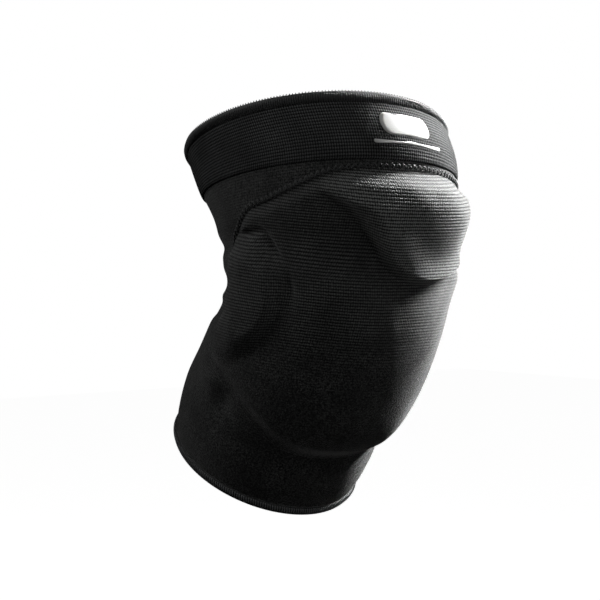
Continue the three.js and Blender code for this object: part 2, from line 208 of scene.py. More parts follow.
def leg_sections():
    """Rows of the leg's sections, from the bottom rim to the top."""
    rows = []
    for table, reach, lean, slant, width, depth in (
        (SHIN_SECTIONS, BELOW_KNEE, BOTTOM_LEAN, BOTTOM_SLANT, BOTTOM_WIDTH, BOTTOM_DEPTH),
        (THIGH_SECTIONS, ABOVE_KNEE, TOP_LEAN, TOP_SLANT, THIGH_WIDTH, THIGH_DEPTH),
    ):
        if table is THIGH_SECTIONS:
            bend = dict(at=0, back=0, up=0, lean=KNEE_LEAN, slant=0, width=KNEE_WIDTH, depth=KNEE_DEPTH)
            rows.append(bend)
        for row in table:
            rows.append(dict(
                at=row["reach"] * reach,
                back=row["back"] * reach,
                up=row["up"] * reach,
                lean=mix(KNEE_LEAN, lean, row["lean"]),
                slant=slant * row["slant"],
                width=mix(KNEE_WIDTH, width, row["width"]),
                depth=mix(KNEE_DEPTH, depth, row["depth"]),
            ))
    return rows


SECTIONS = leg_sections()


def smooth(rows, column, at):
    """Values of one column of a table at many places, on a smooth curve through every row."""
    places = np.array([row["at"] for row in rows], float)
    values = np.array([row[column] for row in rows], float)
    slopes = np.empty_like(values)
    slopes[1:-1] = (values[2:] - values[:-2]) / (places[2:] - places[:-2])
    slopes[0] = (values[1] - values[0]) / (places[1] - places[0])
    slopes[-1] = (values[-1] - values[-2]) / (places[-1] - places[-2])
    low = np.clip(np.searchsorted(places, at, side="left") - 1, 0, len(places) - 2)
    span = places[low + 1] - places[low]
    t = (at - places[low]) / span
    rise = values[low + 1] - values[low]
    start, end = slopes[low] * span, slopes[low + 1] * span
    return values[low] + t * (start + t * (3 * rise - 2 * start - end + t * (start + end - 2 * rise)))


def bare_point(turn, reach):
    """Points of the sleeve's outside without its folds, as an array that ends in x, y, z."""
    turn, reach = np.broadcast_arrays(np.asarray(turn, float), np.asarray(reach, float))
    lean = np.radians(smooth(SECTIONS, "lean", reach))
    slant = np.radians(smooth(SECTIONS, "slant", reach))
    zero = np.zeros_like(lean)
    up = np.stack([zero, np.sin(lean), np.cos(lean)], -1)
    front = np.stack([zero, -np.cos(lean), np.sin(lean)], -1)
    side = np.stack([-np.cos(slant), zero, zero], -1) + up * np.sin(slant)[..., None]
    middle = np.stack([zero, smooth(SECTIONS, "back", reach), smooth(SECTIONS, "up", reach)], -1)
    across = smooth(SECTIONS, "width", reach) / 2 * np.sin(np.radians(turn))
    forward = smooth(SECTIONS, "depth", reach) / 2 * np.cos(np.radians(turn))
    return middle + side * across[..., None] + front * forward[..., None]


def outward(turn, reach):
    across = bare_point(turn + 0.1, reach) - bare_point(turn - 0.1, reach)
    along = bare_point(turn, reach + 0.1) - bare_point(turn, reach - 0.1)
    normal = np.cross(along, across)
    return normal / np.linalg.norm(normal, axis=-1, keepdims=True)


def reach_of(share):
    return share * (BELOW_KNEE if share < 0 else ABOVE_KNEE)


def degrees_to_length(degrees):
    return np.radians(degrees) * (KNEE_WIDTH + KNEE_DEPTH) / 4


def bell(x):
    return np.exp(-x * x)


def relief_height(folds, full_height, turn, reach):
    """Height of a list of folds, each a long bell along its slope."""
    height = np.zeros(np.broadcast(turn, reach).shape)
    for fold in folds:
        across = degrees_to_length((turn - fold["turn"] + 540) % 360 - 180)
        along = reach - reach_of(fold["reach"])
        tilt = math.radians(fold.get("slope", 0))
        lengthwise = across * math.cos(tilt) + along * math.sin(tilt)
        crosswise = along * math.cos(tilt) - across * math.sin(tilt)
        shape = bell(lengthwise / (fold["long"] * KNEE_WIDTH))
        shape = shape * bell(crosswise / (fold["wide"] * KNEE_WIDTH))
        height += fold["height"] * full_height * shape
    return height


def surface_point(turn, reach, height):
    """Points at a height over the sleeve's outside, folds included, in millimetres."""
    lift = relief_height(FOLDS, FOLD_DEPTH, turn, reach) + height
    return bare_point(turn, reach) + outward(turn, reach) * np.asarray(lift)[..., None]


def set_rims():
    """Each pad's outline as rows of bearing round its middle, distance from it and softness."""
    for pad in PADS:
        rows = []
        for turn, reach, soft in pad["outline"]:
            across = degrees_to_length(turn - pad["turn"])
            along = reach_of(reach) - reach_of(pad["reach"])
            rows.append(dict(at=math.atan2(along, across), far=math.hypot(along, across), soft=soft))
        rows.sort(key=lambda row: row["at"])
        pad["rim"] = [dict(row, at=row["at"] + turns * math.tau) for turns in (-1, 0, 1) for row in rows]


set_rims()


def bulge_share(far, soft):
    flat = mix(STEEP["flat"], GENTLE["flat"], soft)
    spread = mix(STEEP["spread"], GENTLE["spread"], soft)
    return 0.5 + 0.5 * np.cos(np.pi * np.clip((far - flat) / (spread - flat), 0, 1))


def pad_height(pad, far, soft):
    return (pad["foam"] + FOAM_CLEARANCE) * bulge_share(far, soft)


def bulge_height(pad, turn, reach):
    across = degrees_to_length(turn - pad["turn"])
    along = reach - reach_of(pad["reach"])
    bearing = np.arctan2(along, across)
    far = np.hypot(along, across) / smooth(pad["rim"], "far", bearing)
    return pad_height(pad, far, smooth(pad["rim"], "soft", bearing))


def pocket_height(turn, reach):
    """Height of the cover's inside over the sleeve."""
    total = sum(np.maximum(bulge_height(pad, turn, reach), 0) ** JOIN for pad in PADS)
    return COVER_CLEARANCE + total ** (1 / JOIN) + relief_height(RIDGES, RIDGE_HEIGHT, turn, reach)


def edge_reach(column, turn):
    """Reach of the cover's top or bottom edge at each turn."""
    scale = ABOVE_KNEE if column == "top" else BELOW_KNEE
    widen = SIDE_EDGE / COVER_EDGES[-1]["turn"]
    rows = [dict(row, at=row["turn"] * widen) for row in COVER_EDGES]
    return smooth(rows, column, np.abs(turn)) * scale


# Meshes

METRES = 0.001


def new_object(name, points, faces, uvs=None, face_uvs=None, attributes=None):
    """A smooth-shaded mesh object from points in millimetres, with a map in metres named cloth."""
    mesh = bpy.data.meshes.new(name)
    mesh.from_pydata((np.asarray(points) * METRES).tolist(), [], faces)
    if uvs is not None:
        layer = mesh.uv_layers.new(name="cloth")
        layer.data.foreach_set("uv", np.asarray(uvs, np.float32)[np.concatenate(face_uvs)].ravel())
    for label, values in (attributes or {}).items():
        attribute = mesh.attributes.new(label, "FLOAT", "POINT")
        attribute.data.foreach_set("value", np.asarray(values, np.float32))
    mesh.polygons.foreach_set("use_smooth", [True] * len(mesh.polygons))
    mesh.validate()
    piece = bpy.data.objects.new(name, mesh)
    bpy.context.scene.collection.objects.link(piece)
    return piece


def lengths_along(points, axis):
    """Running length along one axis of a grid of points, in metres."""
    steps = np.linalg.norm(np.diff(points, axis=axis), axis=-1)
    start = np.zeros_like(np.take(steps, [0], axis=axis))
    return np.concatenate([start, np.cumsum(steps, axis=axis)], axis=axis) * METRES


def grid_faces(rows, columns, first, width, flip):
    """Faces of a grid whose rows hold width points, and wrap round where columns equals width."""
    row, column = np.meshgrid(np.arange(rows), np.arange(columns), indexing="ij")
    after = (column + 1) % width
    low, high = row * width, (row + 1) * width
    corners = [low + column, low + after, high + after, high + column]
    if flip:
        corners.reverse()
    return np.stack(corners, -1).reshape(-1, 4) + first


def shell_object(name, turns, reaches, outer, inner, row_place, attributes=None):
    """A closed wall of cloth: a fine outside, an inside with fewer faces, and edges that join them.

    turns is a list of turns, and reaches a list of rows, each a reach or an array of one for each turn.
    outer and inner give the points' heights, and row_place the place across the rows of stitches. Turns
    that go all the way round make a tube.
    """
    rows, columns = len(reaches) - 1, len(turns) - 1
    tube = abs(abs(turns[-1] - turns[0]) - 360) < 1e-6
    reach = np.stack([np.broadcast_to(r, turns.shape) for r in reaches])
    turn = np.broadcast_to(turns, reach.shape)
    fine = surface_point(turn, reach, outer(turn, reach))
    across = lengths_along(fine, 1)
    across = across - across[:, columns // 2][:, None]
    uvs = np.stack([across, row_place(turn, reach) * METRES], -1)
    picked = np.ix_(np.arange(0, rows + 1, COARSE), np.arange(0, columns + 1, COARSE))
    rough = surface_point(turn[picked], reach[picked], inner(turn[picked], reach[picked]))
    inner_uvs = uvs[picked]
    if tube:
        fine, rough = fine[:, :-1], rough[:, :-1]
    width, rough_width = fine.shape[1], rough.shape[1]
    first = fine.shape[0] * width
    points = np.concatenate([fine.reshape(-1, 3), rough.reshape(-1, 3)])
    faces = [grid_faces(rows, columns, 0, width, flip=False)]
    face_uvs = [grid_faces(rows, columns, 0, columns + 1, flip=False)]
    rough_rows, rough_columns = rows // COARSE, columns // COARSE
    uv_first = (rows + 1) * (columns + 1)
    faces.append(grid_faces(rough_rows, rough_columns, first, rough_width, flip=True))
    face_uvs.append(grid_faces(rough_rows, rough_columns, uv_first, rough_columns + 1, flip=True))
    faces = [face for part in faces for face in part.tolist()]
    face_uvs = [face for part in face_uvs for face in part.tolist()]

    def edge(outside, inside, outside_uv, inside_uv, flip):
        """Joins an edge of the outside to the same edge of the inside, a fan for each inner step."""
        for step in range(len(inside) - 1):
            chain = slice(step * COARSE, (step + 1) * COARSE + 1)
            face = list(outside[chain]) + [inside[step + 1], inside[step]]
            face_uv = list(outside_uv[chain]) + [inside_uv[step + 1], inside_uv[step]]
            faces.append(face[::-1] if flip else face)
            face_uvs.append(face_uv[::-1] if flip else face_uv)

    def line(count, begin, stride, wrap=None):
        return [begin + (i % wrap if wrap else i) * stride for i in range(count)]

    for top in (False, True):
        edge(
            line(columns + 1, rows * width if top else 0, 1, wrap=width),
            line(rough_columns + 1, first + (rough_rows * rough_width if top else 0), 1, wrap=rough_width),
            line(columns + 1, rows * (columns + 1) if top else 0, 1),
            line(rough_columns + 1, uv_first + (rough_rows * (rough_columns + 1) if top else 0), 1),
            flip=not top,
        )
    if not tube:
        for last in (False, True):
            edge(
                line(rows + 1, columns if last else 0, width),
                line(rough_rows + 1, first + (rough_columns if last else 0), rough_width),
                line(rows + 1, columns if last else 0, columns + 1),
                line(rough_rows + 1, uv_first + (rough_columns if last else 0), rough_columns + 1),
                flip=last,
            )
    values = {}
    for label, rule in (attributes or {}).items():
        grid = rule(turn, reach)
        ends = -1 if tube else None
        values[label] = np.concatenate([grid[:, :ends].ravel(), grid[picked][:, :ends].ravel()])
    all_uvs = np.concatenate([uvs.reshape(-1, 2), inner_uvs.reshape(-1, 2)])
    return new_object(name, points, faces, all_uvs, face_uvs, values)


# Materials

MULTIPLY = dict(operation="MULTIPLY")
MULTIPLY_ADD = dict(operation="MULTIPLY_ADD")
SUBTRACT = dict(operation="SUBTRACT")
CLOUD_SIZE = 18  # unevenness of the dye, in millimetres
CLOUD_LIGHT = 0.2  # how much lighter its palest places are
DEEP_LIGHT = 0.06  # tone of its darkest places
STRETCH_AND_HIGHLIGHT = 0.3  # painted highlight: paler over the thigh pad's crown, where the key light falls, and partly the knit pulled open over the pad
BRUSHED_PAINTED_SHADE = -0.05  # painted shade: the knit is drawn darker on its brushed lower part, where less light falls
BRUSHED_RIBS = 0.15  # share of the ribs that shows where it's brushed
QUIET_FUZZ = 0.4  # share of the fibres that shows where it isn't


def colour(hex_code):
    """An sRGB hex value as the linear colour that Blender's sockets take."""
    channels = [int(hex_code[i:i + 2], 16) / 255 for i in (1, 3, 5)]
    linear = [c / 12.92 if c <= 0.04045 else ((c + 0.055) / 1.055) ** 2.4 for c in channels]
    return (*linear, 1)


def add_node(tree, kind, settings=None, inputs=None):
    """Adds a node, sets its properties, and sets each input or links it if the value is a socket."""
    node = tree.nodes.new(kind)
    for name, value in (settings or {}).items():
        setattr(node, name, value)
    for name, value in (inputs or {}).items():
        if isinstance(value, bpy.types.NodeSocket):
            tree.links.new(value, node.inputs[name])
        else:
            node.inputs[name].default_value = value
    return node


def new_material(name):
    material = bpy.data.materials.new(name)
    material.use_nodes = True
    material.node_tree.nodes.clear()
    return material, material.node_tree


def finish_material(tree, shader_inputs, height=None, bump_depth=0.0):
    """Adds the shader with its bump and output."""
    if height is not None:
        bump = add_node(tree, "ShaderNodeBump", None, {"Height": height, "Distance": bump_depth * METRES})
        shader_inputs = dict(shader_inputs, Normal=bump.outputs[0])
    shader = add_node(tree, "ShaderNodeBsdfPrincipled", None, shader_inputs)
    add_node(tree, "ShaderNodeOutputMaterial", None, {"Surface": shader.outputs[0]})


def knit_material(name, dark, light, row, wale, fuzz, look):
    """Knitted polyester, lighter on its ribs and loose fibres.

    row, wale and fuzz are (size, depth, contrast), in millimetres: rows of stitches round the leg, columns
    along it, and fibres. The attribute brushed_and_shaded turns rows and columns to fuzz and adds painted
    shade, and stretch_and_highlight makes the knit paler: a painted highlight, and partly the knit pulled
    open.
    """
    material, tree = new_material(name)
    uv = add_node(tree, "ShaderNodeUVMap", dict(uv_map="cloth")).outputs[0]
    places = add_node(tree, "ShaderNodeSeparateXYZ", None, {0: uv}).outputs
    ribbing = []
    for place, (size, depth, contrast) in ((places[1], row), (places[0], wale)):
        half_wave = math.pi / (size * METRES)
        angle = add_node(tree, "ShaderNodeMath", MULTIPLY, {0: place, 1: half_wave}).outputs[0]
        wave = add_node(tree, "ShaderNodeMath", dict(operation="SINE"), {0: angle}).outputs[0]
        rib = add_node(tree, "ShaderNodeMath", dict(operation="ABSOLUTE"), {0: wave}).outputs[0]
        ribbing.append((rib, depth, contrast))
    where = add_node(tree, "ShaderNodeTexCoord").outputs["Object"]
    fibres = add_node(tree, "ShaderNodeTexNoise", None, {
        "Vector": where, "Scale": 1 / (fuzz[0] * METRES), "Detail": 2.0, "Roughness": 0.7,
    }).outputs["Fac"]
    clouds = add_node(tree, "ShaderNodeTexNoise", None, {
        "Vector": where, "Scale": 1 / (CLOUD_SIZE * METRES), "Detail": 2.0,
    }).outputs["Fac"]
    brushed_and_shaded = add_node(tree, "ShaderNodeAttribute", dict(attribute_name="brushed_and_shaded")).outputs["Fac"]
    stretch_and_highlight = add_node(tree, "ShaderNodeAttribute", dict(attribute_name="stretch_and_highlight")).outputs["Fac"]
    plain = add_node(tree, "ShaderNodeMath", MULTIPLY_ADD, {
        0: brushed_and_shaded, 1: BRUSHED_RIBS - 1, 2: 1.0,
    }).outputs[0]
    fuzzy = add_node(tree, "ShaderNodeMath", MULTIPLY_ADD, {
        0: brushed_and_shaded, 1: 1 - QUIET_FUZZ, 2: QUIET_FUZZ,
    }).outputs[0]

    # Colour: a slow tone, times light ribs and loose fibres with dark grooves between
    tone = add_node(tree, "ShaderNodeMath", MULTIPLY_ADD, {
        0: clouds, 1: CLOUD_LIGHT, 2: DEEP_LIGHT,
    }).outputs[0]
    # Painted light in the tone: a highlight over the thigh pad's crown, partly the knit pulled open there,
    # and painted shade on the brushed lower part
    for share, change in ((stretch_and_highlight, STRETCH_AND_HIGHLIGHT), (brushed_and_shaded, BRUSHED_PAINTED_SHADE)):
        tone = add_node(tree, "ShaderNodeMath", MULTIPLY_ADD, {0: share, 1: change, 2: tone}).outputs[0]
    weight = add_node(tree, "ShaderNodeMath", MULTIPLY, {0: fuzzy, 1: fuzz[2]}).outputs[0]
    centred = add_node(tree, "ShaderNodeMath", SUBTRACT, {0: fibres, 1: 0.5}).outputs[0]
    relief = add_node(tree, "ShaderNodeMath", MULTIPLY_ADD, {0: centred, 1: weight, 2: 1.0}).outputs[0]
    for rib, depth, contrast in ribbing:
        weight = add_node(tree, "ShaderNodeMath", MULTIPLY, {0: plain, 1: contrast}).outputs[0]
        centred = add_node(tree, "ShaderNodeMath", SUBTRACT, {0: rib, 1: RIB_MEAN}).outputs[0]
        relief = add_node(tree, "ShaderNodeMath", MULTIPLY_ADD, {
            0: centred, 1: weight, 2: relief,
        }).outputs[0]
    relief = add_node(tree, "ShaderNodeMath", dict(operation="MAXIMUM"), {0: relief, 1: 0.0}).outputs[0]
    shade = add_node(tree, "ShaderNodeMath", MULTIPLY, {0: tone, 1: relief}).outputs[0]
    tint = add_node(tree, "ShaderNodeValToRGB", None, {0: shade})
    tint.color_ramp.elements[0].color = colour(dark)
    tint.color_ramp.elements[1].color = colour(light)

    # Height, in millimetres
    weight = add_node(tree, "ShaderNodeMath", MULTIPLY, {0: fuzzy, 1: fuzz[1]}).outputs[0]
    height = add_node(tree, "ShaderNodeMath", MULTIPLY, {0: fibres, 1: weight}).outputs[0]
    for rib, depth, contrast in ribbing:
        weight = add_node(tree, "ShaderNodeMath", MULTIPLY, {0: plain, 1: depth}).outputs[0]
        height = add_node(tree, "ShaderNodeMath", MULTIPLY_ADD, {0: rib, 1: weight, 2: height}).outputs[0]
    finish_material(tree, {"Base Color": tint.outputs[0], **look}, height, 1)
    return material


# Ribbed polyester jersey, brushed on its lower half: black, with a soft bright edge against the light. It
# is drawn darker on its brushed half with painted shade, and paler over the thigh pad with a painted
# highlight, partly the knit pulled open. Its ribs are in the mesh. Its fibres are about a tenth of a
# millimetre thick, and are drawn coarser so that they show.
cover_knit = knit_material(
    "ribbed_polyester_jersey", "#030404", "#8e908e",
    row=(RIB_PITCH, 0, 3.2), wale=(FINE_PITCH, 0.08, 1.8), fuzz=(0.8, 0.6, 14),
    look={"Roughness": 0.75, "Specular IOR Level": 0.3, "Sheen Weight": 0.35, "Sheen Roughness": 0.4},
)
# Fine polyester and elastane knit: flatter and darker, with narrow columns of stitches
sleeve_knit = knit_material(
    "elastane_knit", "#030404", "#929492",
    row=(FINE_PITCH, 0.12, 1.2), wale=(FINE_PITCH, 0.08, 1.0), fuzz=(0.8, 0.5, 12),
    look={"Roughness": 0.8, "Specular IOR Level": 0.3, "Sheen Weight": 0.3, "Sheen Roughness": 0.4},
)
# Knitted elastic: heavier rows of smooth yarn, with a dark hole between every two stitches
band_knit = knit_material(
    "knitted_elastic", "#030404", "#868888",
    row=(BAND_ROW, 0, 2.8), wale=(BAND_ROW, 0.15, 3.2), fuzz=(0.8, 0.35, 7),
    look={"Roughness": 0.8, "Specular IOR Level": 0.2, "Sheen Weight": 0.05, "Sheen Roughness": 0.4},
)


def yarn_material(name, dark, light, look):
    """Spun polyester thread, or print: lighter and darker strands, and a faint roughness in its height."""
    material, tree = new_material(name)
    place = add_node(tree, "ShaderNodeTexCoord").outputs["Object"]
    strands = add_node(tree, "ShaderNodeTexNoise", None, {
        "Vector": place, "Scale": 1 / (0.35 * METRES), "Detail": 2.0,
    }).outputs["Fac"]
    tint = add_node(tree, "ShaderNodeValToRGB", None, {0: strands})
    tint.color_ramp.elements[0].color = colour(dark)
    tint.color_ramp.elements[1].color = colour(light)
    finish_material(tree, {"Base Color": tint.outputs[0], **look}, strands, 0.08)
    return material


# Black overlock thread: a little glossier than the knit, so that each bar shows
black_thread = yarn_material(
    "black_polyester_thread", "#191b1b", "#3c3e3e",
    {"Roughness": 0.55, "Specular IOR Level": 0.45, "Sheen Weight": 0.3},
)
# Grey overlock thread of the lower hem
grey_thread = yarn_material(
    "grey_polyester_thread", "#5c5e60", "#a4a6a8",
    {"Roughness": 0.6, "Specular IOR Level": 0.4, "Sheen Weight": 0.3},
)
# Rubbery transfer print: nearly white, smooth and matt
white_print = yarn_material(
    "white_transfer_print", "#d6d6d3", "#f0f0ee", {"Roughness": 0.5, "Specular IOR Level": 0.4},
)


def foam_material():
    """Closed-cell EVA foam: matt dark grey, with fine cells in its skin."""
    material, tree = new_material("eva_foam")
    place = add_node(tree, "ShaderNodeTexCoord").outputs["Object"]
    cells = add_node(tree, "ShaderNodeTexVoronoi", None, {"Vector": place, "Scale": 1 / (0.8 * METRES)})
    tint = add_node(tree, "ShaderNodeValToRGB", None, {0: cells.outputs["Distance"]})
    tint.color_ramp.elements[0].color = colour("#2b2c2e")
    tint.color_ramp.elements[1].color = colour("#414346")
    look = {"Base Color": tint.outputs[0], "Roughness": 0.9}
    finish_material(tree, look, cells.outputs["Distance"], 0.15)
    return material


eva_foam = foam_material()


def finish_piece(piece, material, node):
    if not piece.data.materials:
        piece.data.materials.append(material)
    if node:
        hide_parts(node)
    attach(piece, "root")


# Knitted pieces

def ease(low, high, value):
    """0 below low, 1 above high, and smooth between."""
    share = np.clip((value - low) / (high - low), 0, 1)
    return share * share * (3 - 2 * share)


def ribs(reach, pitch):
    """Rows of rounded ribs, from 0 in the grooves to 1 on top."""
    return np.abs(np.sin(np.pi * reach / pitch))


def inset(turn, reach, taper):
    """Share of the cover's full height near its edges: 0 on the edge and 1 further in."""
    top = ease(0, SEAM_TAPER, edge_reach("top", turn) - reach)
    bottom = ease(0, taper, reach - edge_reach("bottom", turn))
    side = ease(0, taper, degrees_to_length(SIDE_EDGE - np.abs(turn)))
    return top * bottom * side


def brushed_and_shaded_share(turn, reach):
    """1 on the cover's lower half, where the knit is fuzzy from brushing and drawn darker with painted
    shade.
    """
    border = BRUSHED_START + BRUSHED_SLOPE * degrees_to_length(np.abs(turn))
    return ease(-BRUSHED_START, BRUSHED_START, -reach - border)


def stretch_and_highlight_share(turn, reach):
    """1 over the crown of the thigh pad, where the knit is pulled open furthest: the share of its painted
    highlight.
    """
    pad = next(pad for pad in PADS if pad["name"] == "thigh_pad")
    return bulge_height(pad, turn, reach) / pad_height(pad, 0, 0)


def row_lengths():
    """Lengths along the taut cover from the bend, at a grid of turns and reaches."""
    turns = np.linspace(-SIDE_EDGE, SIDE_EDGE, 49)
    reaches = np.linspace(-BELOW_KNEE, ABOVE_KNEE, 201)
    turn, reach = np.meshgrid(turns, reaches, indexing="ij")
    lengths = lengths_along(surface_point(turn, reach, np.full(turn.shape, STRETCH_HEIGHT)), 1) / METRES
    at_bend = np.array([np.interp(0, reaches, row) for row in lengths])
    return turns, reaches, lengths - at_bend[:, None]


def row_place(turn, reach):
    """Length along the taut cover from the bend, from the grid of lengths."""
    turns, reaches, lengths = ROW_LENGTHS
    column = np.interp(turn, turns, np.arange(len(turns)))
    row = np.interp(reach, reaches, np.arange(len(reaches)))
    i = np.minimum(column.astype(int), len(turns) - 2)
    j = np.minimum(row.astype(int), len(reaches) - 2)
    low = mix(lengths[i, j], lengths[i + 1, j], column - i)
    return mix(low, mix(lengths[i, j + 1], lengths[i + 1, j + 1], column - i), row - j)


def row_reach(turns, place):
    """Reach of one row of stitches at each turn."""
    grid_turns, reaches, lengths = ROW_LENGTHS
    found = [np.interp(place, row, reaches) for row in lengths]
    return np.interp(turns, grid_turns, found)


ROW_LENGTHS = row_lengths()


def cover_inside(turn, reach):
    pocket = pocket_height(turn, reach) + relief_height(CREASES, CREASE_DEPTH, turn, reach)
    return EDGE_LIFT + np.maximum(pocket - EDGE_LIFT, 0) * inset(turn, reach, POCKET_TAPER)


def cover_outside(turn, reach):
    """Height of the cover's outside. Each crease also pinches its wall."""
    kept = 1 - BRUSHED_RIB_LOSS * brushed_and_shaded_share(turn, reach)
    rib = RIB_HEIGHT * ribs(row_place(turn, reach), RIB_PITCH) * kept
    pinch = np.maximum(relief_height(CREASES, CREASE_DEPTH, turn, reach) / 2, CREASE_WALL - COVER_WALL)
    wall = (COVER_WALL + rib + pinch - EDGE_WALL) * inset(turn, reach, EDGE_TAPER)
    return cover_inside(turn, reach) + EDGE_WALL + wall


band_top = ABOVE_KNEE - TOP_HEM_HEIGHT - CLEARANCE
band_bottom = band_top - BAND_HEIGHT
hem_top = BOTTOM_HEM_HEIGHT - BELOW_KNEE

cover_turns = np.linspace(SIDE_EDGE, -SIDE_EDGE, COVER_STEPS + 1)
step = RIB_PITCH / SAMPLES_PER_RIB
highest = edge_reach("top", cover_turns)
lowest = edge_reach("bottom", cover_turns)
first_row = math.floor(row_place(cover_turns, lowest).min() / step)
row_count = row_place(cover_turns, highest).max() / step - first_row
row_count = SAMPLES_PER_RIB * math.ceil(row_count / SAMPLES_PER_RIB)
cover_rows = [row_reach(cover_turns, (first_row + i) * step) for i in range(row_count + 1)]
cover_rows = [np.clip(row, lowest, highest) for row in cover_rows]
cover = shell_object(
    "cover_shell", cover_turns, cover_rows, cover_outside, cover_inside, row_place,
    dict(brushed_and_shaded=brushed_and_shaded_share, stretch_and_highlight=stretch_and_highlight_share),
)
edit = bmesh.new()
edit.from_mesh(cover.data)
bmesh.ops.remove_doubles(edit, verts=edit.verts, dist=2e-6)
edit.to_mesh(cover.data)
edit.free()
finish_piece(cover, cover_knit, "front_cover")


def bare_share(turn, reach):
    """0 under the cover and 1 where the sleeve shows, with a few millimetres between."""
    turn_by_edge = np.clip(turn, -SIDE_EDGE, SIDE_EDGE)
    over = ease(-2, 4, reach - edge_reach("top", turn_by_edge))
    under = ease(-2, 6, edge_reach("bottom", turn_by_edge) - reach)
    behind = ease(0, 6, degrees_to_length(np.abs(turn) - SIDE_EDGE))
    return np.maximum(np.maximum(over, under), behind)


def sleeve_outside(turn, reach):
    return relief_height(SLEEVE_CREASES, CREASE_DEPTH, turn, reach) * bare_share(turn, reach)


def sleeve_inside(turn, reach):
    return np.full(turn.shape, -KNIT_WALL)


# Fuzz and painted shade on the sleeve: a share of both on its upper part, and full towards its lower end
def sleeve_brushed_and_shaded(turn, reach):
    return mix(SLEEVE_BRUSHED_AND_SHADED, 1, ease(0.5 * BELOW_KNEE, 0.7 * BELOW_KNEE, -reach))


def round_turns(count):
    """Turns all the way round, from the back over the near side to the back again."""
    return np.linspace(180, -180, count + 1)


sleeve = shell_object(
    "sleeve_knit", round_turns(SLEEVE_STEPS),
    np.linspace(hem_top + SEWN_GAP, band_bottom - SEWN_GAP, SLEEVE_ROWS + 1),
    sleeve_outside, sleeve_inside, lambda turn, reach: reach, dict(brushed_and_shaded=sleeve_brushed_and_shaded),
)
finish_piece(sleeve, sleeve_knit, "sleeve")


def band_outside(turn, reach):
    """Height of the band's outside: a step over the sleeve, and its rows of stitches."""
    step = (BAND_WALL - KNIT_WALL) * mix(BAND_END, 1, ease(0, BAND_TAPER, reach - band_bottom))
    return step - BAND_ROW_HEIGHT / 2 + BAND_ROW_HEIGHT * ribs(reach - band_bottom, BAND_ROW)


band_rows = round(BAND_HEIGHT / BAND_ROW)
band = shell_object(
    "elastic_band", round_turns(BAND_STEPS),
    np.linspace(band_bottom, band_top + CLEARANCE - SEWN_GAP, band_rows * SAMPLES_PER_RIB + 1),
    band_outside, sleeve_inside, lambda turn, reach: reach - band_bottom,
)
finish_piece(band, band_knit, "top_band")


def squared(wave):
    """A sine or cosine with fuller shoulders."""
    return np.sign(wave) * np.abs(wave) ** HEM_SQUARENESS


def hem_object(name, middle, hem_height):
    """A rolled hem: a rounded section carried round the leg."""
    bearing = np.linspace(0, math.tau, HEM_SIDES, endpoint=False)
    reach = middle + hem_height / 2 * squared(np.sin(bearing))
    height = mix(-KNIT_WALL, HEM_WALL - KNIT_WALL, 0.5 + 0.5 * squared(np.cos(bearing)))
    turn, reach = np.meshgrid(round_turns(HEM_STEPS)[:-1], reach, indexing="ij")
    points = surface_point(turn, reach, np.broadcast_to(height, turn.shape))
    faces = []
    for i in range(HEM_STEPS):
        here, ahead = i * HEM_SIDES, (i + 1) % HEM_STEPS * HEM_SIDES
        for j in range(HEM_SIDES):
            after = (j + 1) % HEM_SIDES
            faces.append([here + j, here + after, ahead + after, ahead + j])
    return new_object(name, points.reshape(-1, 3), faces)


top_hem_middle = ABOVE_KNEE - TOP_HEM_HEIGHT / 2
bottom_hem_middle = BOTTOM_HEM_HEIGHT / 2 - BELOW_KNEE
top_hem = hem_object("top_hem_roll", top_hem_middle, TOP_HEM_HEIGHT)
finish_piece(top_hem, black_thread, "top_hem")
bottom_hem = hem_object("bottom_hem_roll", bottom_hem_middle, BOTTOM_HEM_HEIGHT)
finish_piece(bottom_hem, black_thread, "bottom_hem")


# Foam pads

def disc_object(name, tops, bottoms):
    """A closed disc from rings of points, from the middle out: its upper face, and its lower face."""
    spokes = len(tops[0])
    loops = np.concatenate(tops + bottoms[::-1])
    points = np.concatenate([loops, [tops[0].mean(0)], [bottoms[0].mean(0)]])
    faces = grid_faces(len(tops) + len(bottoms) - 1, spokes, 0, spokes, flip=True).tolist()
    peak, base, last = len(loops), len(loops) + 1, len(loops) - spokes
    for i in range(spokes):
        faces.append([peak, i, (i + 1) % spokes])
        faces.append([base, last + (i + 1) % spokes, last + i])
    piece = new_object(name, points, faces)
    edit = bmesh.new()
    edit.from_mesh(piece.data)
    bmesh.ops.recalc_face_normals(edit, faces=edit.faces)
    edit.to_mesh(piece.data)
    edit.free()
    return piece


def pad_object(name, pad, rings=12, spokes=72):
    """A pad as rings from its middle to its outline, domed on top and lying on the sleeve below it."""
    bearings = np.linspace(-math.pi, math.pi, spokes, endpoint=False)
    far = smooth(pad["rim"], "far", bearings)
    soft = smooth(pad["rim"], "soft", bearings)
    tops, bottoms = [], []
    for ring in range(1, rings + 1):
        share = ring / rings
        turn = pad["turn"] + share * far * np.cos(bearings) / degrees_to_length(1)
        reach = reach_of(pad["reach"]) + share * far * np.sin(bearings)
        dome = COVER_CLEARANCE + pad_height(pad, share + FOAM_INSET, soft) - FOAM_CLEARANCE
        tops.append(surface_point(turn, reach, np.maximum(dome, SEAT_CLEARANCE + FOAM_EDGE)))
        bottoms.append(surface_point(turn, reach, np.full(spokes, SEAT_CLEARANCE)))
    return disc_object(name, tops, bottoms)


for pad in PADS:
    foam = pad_object(pad["name"] + "_foam", pad)
    finish_piece(foam, eva_foam, pad["name"])


# Stitches

STITCH_SEED = 4
STITCH_INPUTS = {
    "Geometry": "Geometry", "Pitch": "Float", "Half height": "Float", "Half depth": "Float",
    "Start": "Float", "Sweep": "Float", "Thread": "Float", "Tilt": "Float", "Slant": "Float",
    "Uneven": "Float", "Material": "Material",
}


